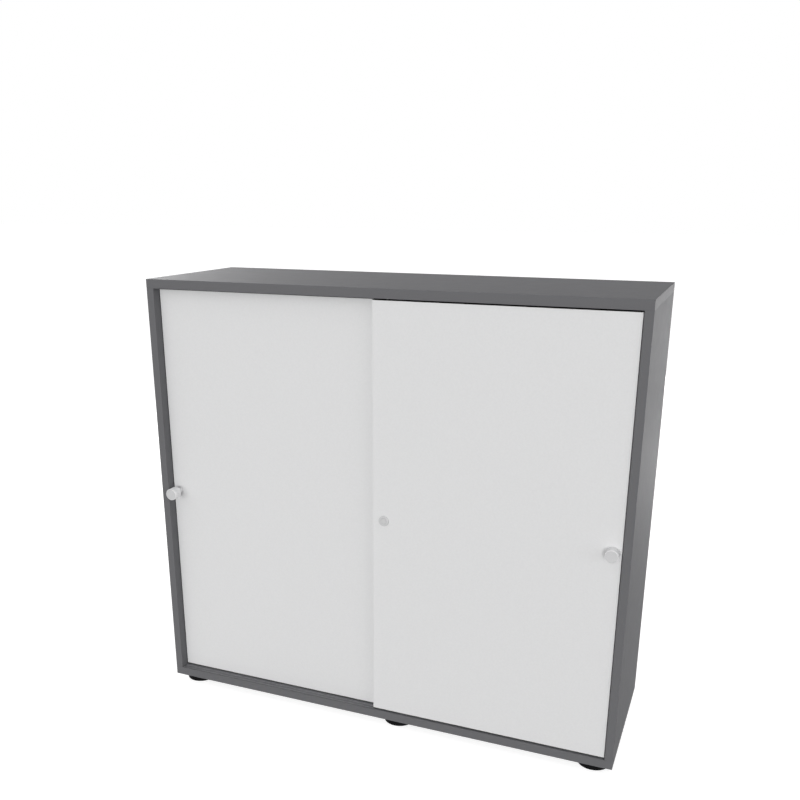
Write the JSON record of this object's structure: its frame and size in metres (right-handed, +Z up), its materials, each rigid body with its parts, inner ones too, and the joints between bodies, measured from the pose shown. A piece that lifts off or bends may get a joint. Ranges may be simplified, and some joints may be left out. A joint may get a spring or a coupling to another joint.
{
  "type": "sliding door cabinet",
  "caption": "Low office cabinet in grey board with overlapping sliding doors on rollers, round knobs, a cam lock, a middle wall, loose shelves and levelling feet.",
  "frame": {"origin": "on the floor, under the middle of the cabinet's width and of its whole depth with the knobs", "axes": "+X along the width, to the right seen from the front; +Y from the doors to the back; +Z up"},
  "size_m": [1.2, 0.421, 1.1],
  "materials": {
    "board": "satin",
    "door": "satin",
    "silver": "satin",
    "steel": "satin",
    "track": "satin",
    "roller": "matte",
    "black": "matte"
  },
  "bodies": {
    "carcass": {"top_panel": "board", "bottom_panel": "board", "left_side_panel": "board", "right_side_panel": "board", "back_panel": "board", "centre_partition": "board", "shelf_left_lower": "board", "shelf_left_upper": "board", "shelf_right_lower": "board", "shelf_right_upper": "board", "shelf_left_lower_pin_left_front": "steel", "shelf_left_lower_pin_left_back": "steel", "shelf_left_lower_pin_right_front": "steel", "shelf_left_lower_pin_right_back": "steel", "shelf_left_upper_pin_left_front": "steel", "shelf_left_upper_pin_left_back": "steel", "shelf_left_upper_pin_right_front": "steel", "shelf_left_upper_pin_right_back": "steel", "shelf_right_lower_pin_left_front": "steel", "shelf_right_lower_pin_left_back": "steel", "shelf_right_lower_pin_right_front": "steel", "shelf_right_lower_pin_right_back": "steel", "shelf_right_upper_pin_left_front": "steel", "shelf_right_upper_pin_left_back": "steel", "shelf_right_upper_pin_right_front": "steel", "shelf_right_upper_pin_right_back": "steel", "lower_track": "track", "upper_rail": "track", "foot_socket_front_left": "black", "foot_socket_front_middle": "black", "foot_socket_front_right": "black", "foot_socket_back_left": "black", "foot_socket_back_middle": "black", "foot_socket_back_right": "black"},
    "left_door": {"left_door": "door", "left_door_roller_housing_left": "black", "left_door_roller_housing_right": "black", "left_door_guide_left": "black", "left_door_guide_right": "black", "left_knob": "silver", "left_knob_spacer": "silver", "striker_stud": "steel"},
    "right_door": {"right_door": "door", "right_door_roller_housing_left": "black", "right_door_roller_housing_right": "black", "right_door_guide_left": "black", "right_door_guide_right": "black", "right_knob": "silver", "lock_housing": "silver"},
    "left_door_wheel_left": {"left_door_wheel_left": "roller"},
    "left_door_wheel_right": {"left_door_wheel_right": "roller"},
    "right_door_wheel_left": {"right_door_wheel_left": "roller"},
    "right_door_wheel_right": {"right_door_wheel_right": "roller"},
    "lock": {"lock_cylinder": "silver"},
    "foot_front_left": {"foot_front_left": "black"},
    "foot_front_middle": {"foot_front_middle": "black"},
    "foot_front_right": {"foot_front_right": "black"},
    "foot_back_left": {"foot_back_left": "black"},
    "foot_back_middle": {"foot_back_middle": "black"},
    "foot_back_right": {"foot_back_right": "black"}
  },
  "joints": [
    {"name": "left_door_slide", "type": "slide", "parent": "carcass", "child": "left_door", "axis": [1, 0, 0], "range_m": [0, 0.53]},
    {"name": "right_door_slide", "type": "slide", "parent": "carcass", "child": "right_door", "axis": [1, 0, 0], "range_m": [-0.53, 0]},
    {"name": "left_door_wheel_left_turn", "type": "hinge", "parent": "left_door", "child": "left_door_wheel_left", "pos_m": [-0.499, -0.1575, 0.0523], "axis": [0, 1, 0], "continuous": true},
    {"name": "left_door_wheel_right_turn", "type": "hinge", "parent": "left_door", "child": "left_door_wheel_right", "pos_m": [-0.06, -0.1575, 0.0523], "axis": [0, 1, 0], "continuous": true},
    {"name": "right_door_wheel_left_turn", "type": "hinge", "parent": "right_door", "child": "right_door_wheel_left", "pos_m": [0.075, -0.1775, 0.0523], "axis": [0, 1, 0], "continuous": true},
    {"name": "right_door_wheel_right_turn", "type": "hinge", "parent": "right_door", "child": "right_door_wheel_right", "pos_m": [0.499, -0.1775, 0.0523], "axis": [0, 1, 0], "continuous": true},
    {"name": "lock_turn", "type": "hinge", "parent": "right_door", "child": "lock", "pos_m": [0.0235, -0.1775, 0.558], "axis": [0, 1, 0], "range_deg": [0, 90]},
    {"name": "foot_front_left_height", "type": "slide", "parent": "carcass", "child": "foot_front_left", "axis": [0, 0, 1], "range_m": [-0.015, 0]},
    {"name": "foot_front_middle_height", "type": "slide", "parent": "carcass", "child": "foot_front_middle", "axis": [0, 0, 1], "range_m": [-0.015, 0]},
    {"name": "foot_front_right_height", "type": "slide", "parent": "carcass", "child": "foot_front_right", "axis": [0, 0, 1], "range_m": [-0.015, 0]},
    {"name": "foot_back_left_height", "type": "slide", "parent": "carcass", "child": "foot_back_left", "axis": [0, 0, 1], "range_m": [-0.015, 0]},
    {"name": "foot_back_middle_height", "type": "slide", "parent": "carcass", "child": "foot_back_middle", "axis": [0, 0, 1], "range_m": [-0.015, 0]},
    {"name": "foot_back_right_height", "type": "slide", "parent": "carcass", "child": "foot_back_right", "axis": [0, 0, 1], "range_m": [-0.015, 0]}
  ],
  "couplings": [
    {"joint": "left_door_wheel_left_turn", "follows": "left_door_slide", "rad_per_m": 83.333},
    {"joint": "left_door_wheel_right_turn", "follows": "left_door_slide", "rad_per_m": 83.333},
    {"joint": "right_door_wheel_left_turn", "follows": "right_door_slide", "rad_per_m": 83.333},
    {"joint": "right_door_wheel_right_turn", "follows": "right_door_slide", "rad_per_m": 83.333}
  ]
}
